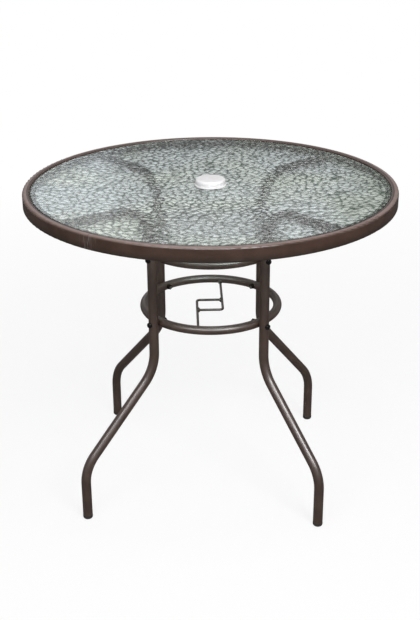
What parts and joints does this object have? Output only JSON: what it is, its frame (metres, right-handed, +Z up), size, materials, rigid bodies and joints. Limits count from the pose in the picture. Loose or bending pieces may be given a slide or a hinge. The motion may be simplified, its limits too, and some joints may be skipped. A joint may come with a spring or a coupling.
{
  "type": "umbrella table",
  "caption": "Round glass-top patio table with a box-section rim, splayed bent tube legs tied by rings, and a capped centre hole over a rod guide for an umbrella pole.",
  "frame": {"origin": "on the floor, under the centre of the round top", "axes": "+Z up, -Y towards the side seen in the picture, legs on the diagonals"},
  "size_m": [0.8, 0.8, 0.7129],
  "materials": {
    "rim_paint": "brown powder coat, satin",
    "frame_paint": "brown powder coat, satin",
    "rod_paint": "brown powder coat, satin",
    "pane_glass": "clear rain-pattern tempered glass, faintly green",
    "gasket_rubber": "matt black",
    "white_plastic": "moulded white, satin",
    "foot_plastic": "moulded dark brown",
    "cap_plastic": "glossy black",
    "fastener_steel": "zinc plated",
    "bare_steel": "mill finish inside the tube"
  },
  "bodies": {
    "frame": {"rim_frame": "rim_paint", "rim_ledge": "rim_paint", "rim_joiner": "bare_steel", "glass_gasket": "gasket_rubber", "rim_spigots": "bare_steel", "rim_screws": "fastener_steel", "pole_guide_rear_rod": "rod_paint", "pole_guide_front_rod": "rod_paint", "leg_front_left": "frame_paint", "foot_cap_front_left": "foot_plastic", "leg_front_right": "frame_paint", "foot_cap_front_right": "foot_plastic", "leg_rear_right": "frame_paint", "foot_cap_rear_right": "foot_plastic", "leg_rear_left": "frame_paint", "foot_cap_rear_left": "foot_plastic", "upper_ring": "frame_paint", "upper_ring_bolts": "fastener_steel", "upper_ring_washers": "fastener_steel", "upper_ring_nuts": "fastener_steel", "upper_bolt_caps": "cap_plastic", "lower_ring": "frame_paint", "lower_ring_bolts": "fastener_steel", "lower_ring_washers": "fastener_steel", "lower_ring_nuts": "fastener_steel", "lower_bolt_caps": "cap_plastic"},
    "glass": {"glass_top": "pane_glass", "umbrella_sleeve": "white_plastic"},
    "cap": {"umbrella_cap": "white_plastic"}
  },
  "joints": [
    {"name": "glass_lift", "type": "slide", "parent": "frame", "child": "glass", "axis": [0, 0, 1], "range_m": [0, 0.12]},
    {"name": "cap_lift", "type": "slide", "parent": "glass", "child": "cap", "axis": [0, 0, 1], "range_m": [0, 0.06]}
  ]
}
